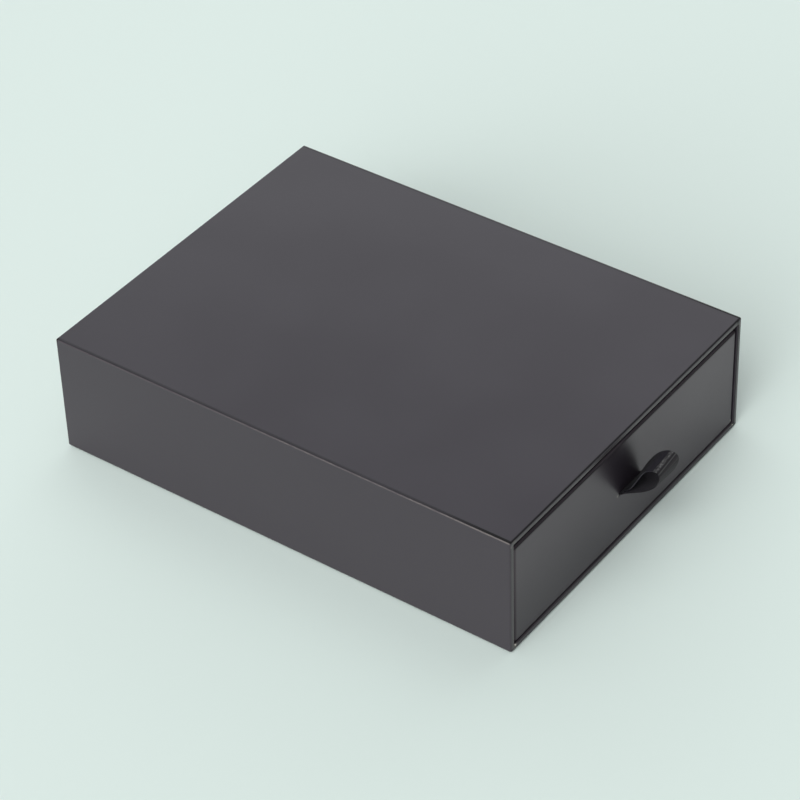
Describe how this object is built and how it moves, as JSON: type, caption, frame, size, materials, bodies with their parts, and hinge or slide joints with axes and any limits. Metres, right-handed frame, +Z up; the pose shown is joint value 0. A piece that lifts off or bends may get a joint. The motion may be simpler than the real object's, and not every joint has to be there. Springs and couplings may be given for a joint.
{
  "type": "sliding drawer gift box",
  "caption": "Rigid paper-covered greyboard sleeve, closed at the back, with a drawer that slides out of its mouth by a folded grosgrain ribbon loop.",
  "frame": {"origin": "middle of the sleeve's underside, on the plane that the box stands on", "axes": "+X along the length towards the sleeve's open mouth, the way the drawer slides out; +Y across to the right as seen from in front of the mouth; +Z up"},
  "size_m": [0.1614, 0.112, 0.038],
  "materials": {
    "board": "matte",
    "black_paper": "satin",
    "lining_paper": "matte",
    "stay_paper": "matte",
    "grosgrain": "matte"
  },
  "bodies": {
    "sleeve": {"sleeve_top_board": "board", "sleeve_bottom_board": "board", "sleeve_left_board": "board", "sleeve_right_board": "board", "sleeve_back_board": "board", "sleeve_wrap": "black_paper", "sleeve_base_sheet": "black_paper", "sleeve_back_sheet": "black_paper", "sleeve_lining": "lining_paper", "sleeve_back_lining": "lining_paper"},
    "drawer": {"drawer_bottom_board": "board", "drawer_front_board": "board", "drawer_back_board": "board", "drawer_left_board": "board", "drawer_right_board": "board", "corner_stay_front_left": "stay_paper", "corner_stay_front_right": "stay_paper", "corner_stay_back_left": "stay_paper", "corner_stay_back_right": "stay_paper", "drawer_wrap": "black_paper", "drawer_floor_lining": "lining_paper", "ribbon_upper_end": "grosgrain", "ribbon_lower_end": "grosgrain", "ribbon_patch": "lining_paper"},
    "ribbon": {"ribbon_loop": "grosgrain"}
  },
  "joints": [
    {"name": "drawer_slide", "type": "slide", "parent": "sleeve", "child": "drawer", "axis": [1, 0, 0], "range_m": [0, 0.148]},
    {"name": "ribbon_bend", "type": "hinge", "parent": "drawer", "child": "ribbon", "pos_m": [0.07495, 0.001, 0.01738], "axis": [0, 1, 0], "range_deg": [-20, 75], "stiffness_Nm_per_rad": 0.0002, "springref_deg": -1.72}
  ]
}
